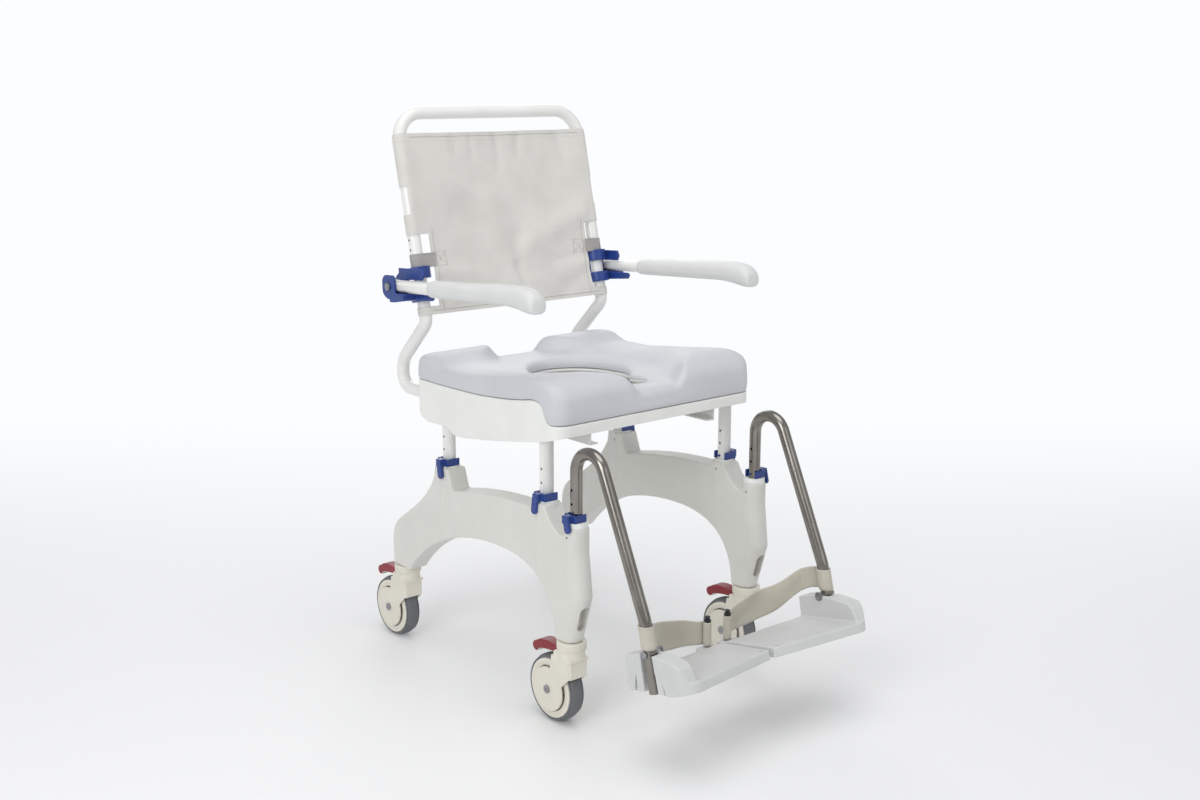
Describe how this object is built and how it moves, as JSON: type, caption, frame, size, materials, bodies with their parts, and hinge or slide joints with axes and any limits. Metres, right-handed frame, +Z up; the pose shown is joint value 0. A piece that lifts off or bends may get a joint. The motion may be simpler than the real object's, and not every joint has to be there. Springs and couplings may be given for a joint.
{
  "type": "transit commode chair",
  "caption": "Wheeled shower and commode chair with keyhole seat, slung backrest, hinged arms, swing-away footrests and braked castors under arched side frames.",
  "frame": {"origin": "on the floor, in the middle of the chair's width and length", "axes": "+Z up, the chair faces -Y, +X is the user's left"},
  "size_m": [0.557, 0.9524, 1.0835],
  "materials": {
    "frame_plastic": "moulded polyamide, fine spark-eroded texture, light warm grey",
    "white_plastic": "white moulded plastic, satin",
    "plate_plastic": "light grey moulded plastic with textured tread",
    "pad_foam": "integral polyurethane foam, soft matte skin, cool grey",
    "arm_foam": "integral polyurethane foam, pale grey",
    "white_paint": "white powder coat on steel tube",
    "stainless": "polished stainless steel tube",
    "zinc_steel": "zinc-plated steel",
    "blue_plastic": "royal blue moulded plastic",
    "cream_plastic": "cream-white moulded plastic",
    "tyre_rubber": "dark grey non-marking rubber",
    "red_plastic": "red moulded plastic",
    "black_plastic": "black moulded plastic",
    "cloth": "coated polyester textile, beige grey, plain weave"
  },
  "bodies": {
    "undercarriage": {"side_frame_right": "frame_plastic", "side_frame_left": "frame_plastic", "castor_stems": "zinc_steel", "post_bushes": "white_plastic", "frame_plugs": "frame_plastic"},
    "seat": {"seat_base": "white_plastic", "seat_pad": "pad_foam", "seat_frame": "white_paint", "pan_rails": "white_paint", "backrest_tube": "white_paint", "backrest_cover": "cloth", "backrest_bolts": "zinc_steel", "arm_bracket_right": "blue_plastic", "arm_bracket_left": "blue_plastic", "arm_pivot_right": "zinc_steel", "arm_pivot_left": "zinc_steel"},
    "castor_front_right": {"castor_housing_front_right": "cream_plastic", "castor_axle_front_right": "zinc_steel"},
    "wheel_front_right": {"castor_tyre_front_right": "tyre_rubber", "castor_hub_front_right": "cream_plastic"},
    "pedal_front_right": {"castor_pedal_front_right": "red_plastic"},
    "castor_front_left": {"castor_housing_front_left": "cream_plastic", "castor_axle_front_left": "zinc_steel"},
    "wheel_front_left": {"castor_tyre_front_left": "tyre_rubber", "castor_hub_front_left": "cream_plastic"},
    "pedal_front_left": {"castor_pedal_front_left": "red_plastic"},
    "castor_rear_right": {"castor_housing_rear_right": "cream_plastic", "castor_axle_rear_right": "zinc_steel"},
    "wheel_rear_right": {"castor_tyre_rear_right": "tyre_rubber", "castor_hub_rear_right": "cream_plastic"},
    "pedal_rear_right": {"castor_pedal_rear_right": "red_plastic"},
    "castor_rear_left": {"castor_housing_rear_left": "cream_plastic", "castor_axle_rear_left": "zinc_steel"},
    "wheel_rear_left": {"castor_tyre_rear_left": "tyre_rubber", "castor_hub_rear_left": "cream_plastic"},
    "pedal_rear_left": {"castor_pedal_rear_left": "red_plastic"},
    "height_clip_front_right": {"post_clip_front_right": "blue_plastic"},
    "height_clip_front_left": {"post_clip_front_left": "blue_plastic"},
    "height_clip_rear_right": {"post_clip_rear_right": "blue_plastic"},
    "height_clip_rear_left": {"post_clip_rear_left": "blue_plastic"},
    "arm_right": {"arm_tube_right": "white_paint", "arm_pad_right": "arm_foam"},
    "footrest_bush_right": {"footrest_bush_right": "white_plastic"},
    "footrest_right": {"footrest_tube_right": "stainless", "footplate_bolt_right": "zinc_steel", "heel_strap_right": "cloth"},
    "footrest_clip_right": {"footrest_clip_right": "blue_plastic"},
    "footplate_right": {"footplate_right": "plate_plastic", "heel_post_right": "black_plastic"},
    "arm_left": {"arm_tube_left": "white_paint", "arm_pad_left": "arm_foam"},
    "footrest_bush_left": {"footrest_bush_left": "white_plastic"},
    "footrest_left": {"footrest_tube_left": "stainless", "footplate_bolt_left": "zinc_steel", "heel_strap_left": "cloth"},
    "footrest_clip_left": {"footrest_clip_left": "blue_plastic"},
    "footplate_left": {"footplate_left": "plate_plastic", "heel_post_left": "black_plastic"}
  },
  "joints": [
    {"name": "seat_height", "type": "slide", "parent": "undercarriage", "child": "seat", "axis": [0, 0, 1], "range_m": [0, 0.05]},
    {"name": "castor_swivel_front_right", "type": "hinge", "parent": "undercarriage", "child": "castor_front_right", "pos_m": [-0.22, -0.17399, 0.15], "axis": [0, 0, 1], "continuous": true},
    {"name": "wheel_spin_front_right", "type": "hinge", "parent": "castor_front_right", "child": "wheel_front_right", "pos_m": [-0.22, -0.12999, 0.0625], "axis": [1, 0, 0], "continuous": true},
    {"name": "brake_pedal_front_right", "type": "hinge", "parent": "castor_front_right", "child": "pedal_front_right", "pos_m": [-0.22, -0.15551, 0.138], "axis": [-1, 0, 0], "range_deg": [0, 6]},
    {"name": "castor_swivel_front_left", "type": "hinge", "parent": "undercarriage", "child": "castor_front_left", "pos_m": [0.22, -0.17399, 0.15], "axis": [0, 0, 1], "continuous": true},
    {"name": "wheel_spin_front_left", "type": "hinge", "parent": "castor_front_left", "child": "wheel_front_left", "pos_m": [0.22, -0.12999, 0.0625], "axis": [1, 0, 0], "continuous": true},
    {"name": "brake_pedal_front_left", "type": "hinge", "parent": "castor_front_left", "child": "pedal_front_left", "pos_m": [0.22, -0.15551, 0.138], "axis": [-1, 0, 0], "range_deg": [0, 6]},
    {"name": "castor_swivel_rear_right", "type": "hinge", "parent": "undercarriage", "child": "castor_rear_right", "pos_m": [-0.22, 0.36301, 0.15], "axis": [0, 0, 1], "continuous": true},
    {"name": "wheel_spin_rear_right", "type": "hinge", "parent": "castor_rear_right", "child": "wheel_rear_right", "pos_m": [-0.22, 0.40701, 0.0625], "axis": [1, 0, 0], "continuous": true},
    {"name": "brake_pedal_rear_right", "type": "hinge", "parent": "castor_rear_right", "child": "pedal_rear_right", "pos_m": [-0.22, 0.38149, 0.138], "axis": [-1, 0, 0], "range_deg": [0, 6]},
    {"name": "castor_swivel_rear_left", "type": "hinge", "parent": "undercarriage", "child": "castor_rear_left", "pos_m": [0.22, 0.36301, 0.15], "axis": [0, 0, 1], "continuous": true},
    {"name": "wheel_spin_rear_left", "type": "hinge", "parent": "castor_rear_left", "child": "wheel_rear_left", "pos_m": [0.22, 0.40701, 0.0625], "axis": [1, 0, 0], "continuous": true},
    {"name": "brake_pedal_rear_left", "type": "hinge", "parent": "castor_rear_left", "child": "pedal_rear_left", "pos_m": [0.22, 0.38149, 0.138], "axis": [-1, 0, 0], "range_deg": [0, 6]},
    {"name": "height_clip_front_right", "type": "slide", "parent": "seat", "child": "height_clip_front_right", "axis": [-1, 0, 0], "range_m": [0, 0.04]},
    {"name": "height_clip_front_left", "type": "slide", "parent": "seat", "child": "height_clip_front_left", "axis": [1, 0, 0], "range_m": [0, 0.04]},
    {"name": "height_clip_rear_right", "type": "slide", "parent": "seat", "child": "height_clip_rear_right", "axis": [-1, 0, 0], "range_m": [0, 0.04]},
    {"name": "height_clip_rear_left", "type": "slide", "parent": "seat", "child": "height_clip_rear_left", "axis": [1, 0, 0], "range_m": [0, 0.04]},
    {"name": "arm_hinge_right", "type": "hinge", "parent": "seat", "child": "arm_right", "pos_m": [-0.258, 0.3141, 0.747], "axis": [-1, 0, 0], "range_deg": [0, 95]},
    {"name": "footrest_swing_right", "type": "hinge", "parent": "undercarriage", "child": "footrest_bush_right", "pos_m": [-0.22, -0.18899, 0.35], "axis": [0, 0, -1], "range_deg": [0, 90]},
    {"name": "footrest_height_right", "type": "slide", "parent": "footrest_bush_right", "child": "footrest_right", "axis": [0, 0, 1], "range_m": [0, 0.05]},
    {"name": "footrest_clip_right", "type": "slide", "parent": "footrest_right", "child": "footrest_clip_right", "axis": [-1, 0, 0], "range_m": [0, 0.04]},
    {"name": "footplate_tilt_right", "type": "hinge", "parent": "footrest_right", "child": "footplate_right", "pos_m": [-0.22, -0.38099, 0.205], "axis": [-1, 0, 0], "range_deg": [-3, 3], "deforming": ["heel_strap_right"]},
    {"name": "arm_hinge_left", "type": "hinge", "parent": "seat", "child": "arm_left", "pos_m": [0.258, 0.3141, 0.747], "axis": [-1, 0, 0], "range_deg": [0, 95]},
    {"name": "footrest_swing_left", "type": "hinge", "parent": "undercarriage", "child": "footrest_bush_left", "pos_m": [0.22, -0.18899, 0.35], "axis": [0, 0, 1], "range_deg": [0, 90]},
    {"name": "footrest_height_left", "type": "slide", "parent": "footrest_bush_left", "child": "footrest_left", "axis": [0, 0, 1], "range_m": [0, 0.05]},
    {"name": "footrest_clip_left", "type": "slide", "parent": "footrest_left", "child": "footrest_clip_left", "axis": [1, 0, 0], "range_m": [0, 0.04]},
    {"name": "footplate_tilt_left", "type": "hinge", "parent": "footrest_left", "child": "footplate_left", "pos_m": [0.22, -0.38099, 0.205], "axis": [-1, 0, 0], "range_deg": [-3, 3], "deforming": ["heel_strap_left"]}
  ]
}
